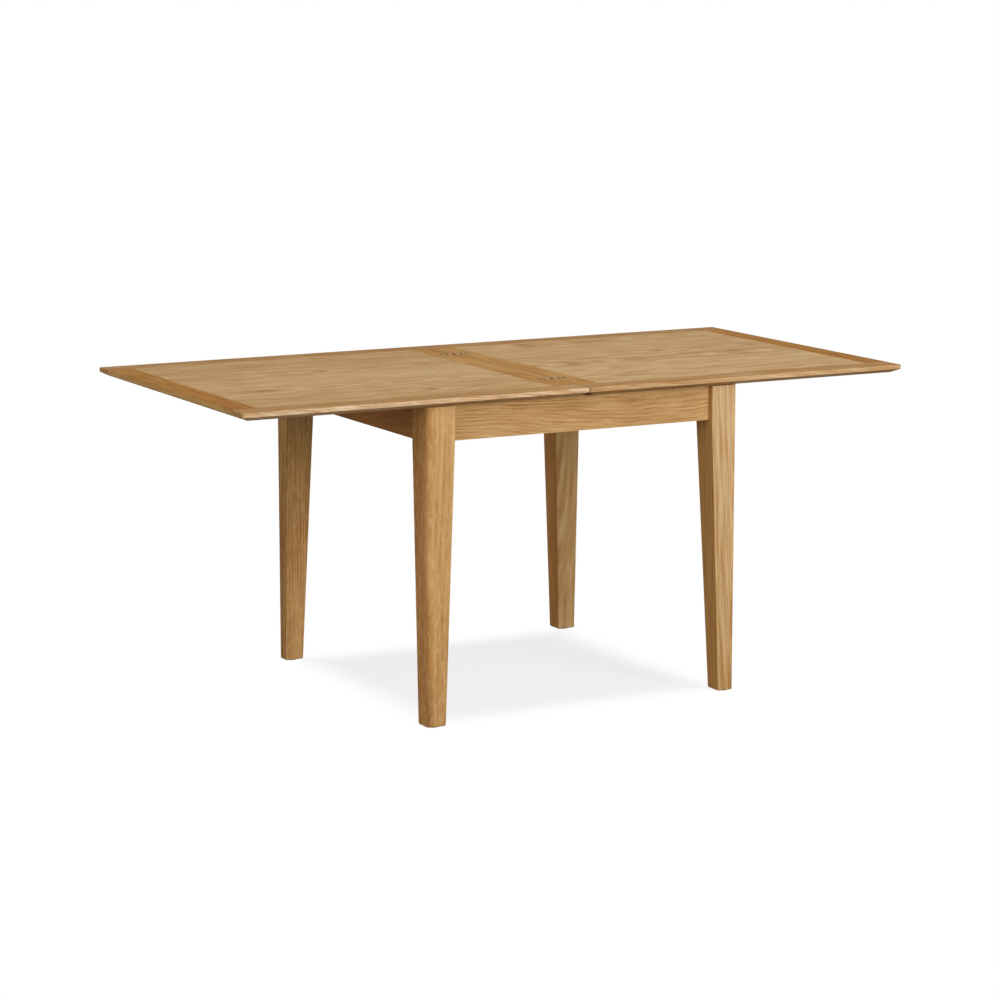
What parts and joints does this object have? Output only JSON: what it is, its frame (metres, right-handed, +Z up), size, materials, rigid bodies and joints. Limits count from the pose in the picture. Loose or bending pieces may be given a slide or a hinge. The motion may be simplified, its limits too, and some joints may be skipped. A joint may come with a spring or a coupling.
{
  "type": "flip top dining table",
  "caption": "Square oak dining table whose top slides across its base and unfolds on flush link hinges to twice its length.",
  "frame": {"origin": "on the floor under the middle of the base, which is also under the seam of the open top", "axes": "+X to the folding leaf's end, +Y to the back, +Z up; the rest pose is the open table"},
  "size_m": [1.7, 0.85, 0.747],
  "materials": {
    "panel_oak": "satin lacquered oak",
    "rail_oak": "satin lacquered oak, warmer cut",
    "leg_oak": "satin lacquered oak",
    "apron_oak": "satin lacquered oak",
    "hidden_hardwood": "planed, unfinished hardwood",
    "dowel_beech": "turned beech",
    "slide_felt": "pressed felt",
    "glide_nylon": "moulded nylon",
    "buffer_rubber": "matt rubber",
    "zinc_steel": "bright zinc plate",
    "hinge_brass": "aged brass"
  },
  "bodies": {
    "base": {"leg_front_left": "leg_oak", "leg_front_right": "leg_oak", "leg_back_left": "leg_oak", "leg_back_right": "leg_oak", "apron_front": "apron_oak", "apron_back": "apron_oak", "apron_left": "apron_oak", "apron_right": "apron_oak", "apron_dowels": "dowel_beech", "corner_block_front_left": "hidden_hardwood", "corner_block_front_right": "hidden_hardwood", "corner_block_back_left": "hidden_hardwood", "corner_block_back_right": "hidden_hardwood", "corner_block_screws": "zinc_steel", "leg_bolts": "zinc_steel", "leg_bolt_washers": "zinc_steel", "leg_bolt_nuts": "zinc_steel", "foot_glides": "glide_nylon", "guide_rail_front": "hidden_hardwood", "guide_rail_back": "hidden_hardwood", "guide_brackets": "zinc_steel", "guide_bracket_screws": "zinc_steel", "stop_buffers": "buffer_rubber", "felt_front": "slide_felt", "felt_back": "slide_felt", "felt_left": "slide_felt", "felt_right": "slide_felt"},
    "fixed_leaf": {"fixed_leaf_panel": "panel_oak", "fixed_leaf_front_rail": "rail_oak", "fixed_leaf_back_rail": "rail_oak", "fixed_leaf_end_rail": "rail_oak", "fixed_leaf_seam_rail": "rail_oak", "runner_front": "hidden_hardwood", "runner_back": "hidden_hardwood", "runner_screws": "zinc_steel", "fixed_hinge_plate_front": "hinge_brass", "fixed_hinge_plate_back": "hinge_brass", "fixed_hinge_screws": "hinge_brass", "fixed_hinge_pins": "hinge_brass"},
    "hinge_links": {"hinge_link_front": "hinge_brass", "hinge_link_back": "hinge_brass"},
    "flip_leaf": {"flip_leaf_panel": "panel_oak", "flip_leaf_front_rail": "rail_oak", "flip_leaf_back_rail": "rail_oak", "flip_leaf_end_rail": "rail_oak", "flip_leaf_seam_rail": "rail_oak", "flip_hinge_plate_front": "hinge_brass", "flip_hinge_plate_back": "hinge_brass", "flip_hinge_screws": "hinge_brass", "flip_hinge_pins": "hinge_brass"}
  },
  "joints": [
    {"name": "top_slide", "type": "slide", "parent": "base", "child": "fixed_leaf", "axis": [1, 0, 0], "range_m": [0, 0.425]},
    {"name": "link_fold", "type": "hinge", "parent": "fixed_leaf", "child": "hinge_links", "pos_m": [-0.0026, 0, 0.7451], "axis": [0, -1, 0], "range_deg": [0, 90]},
    {"name": "leaf_fold", "type": "hinge", "parent": "hinge_links", "child": "flip_leaf", "pos_m": [0.0026, 0, 0.7451], "axis": [0, -1, 0], "range_deg": [0, 90]}
  ]
}
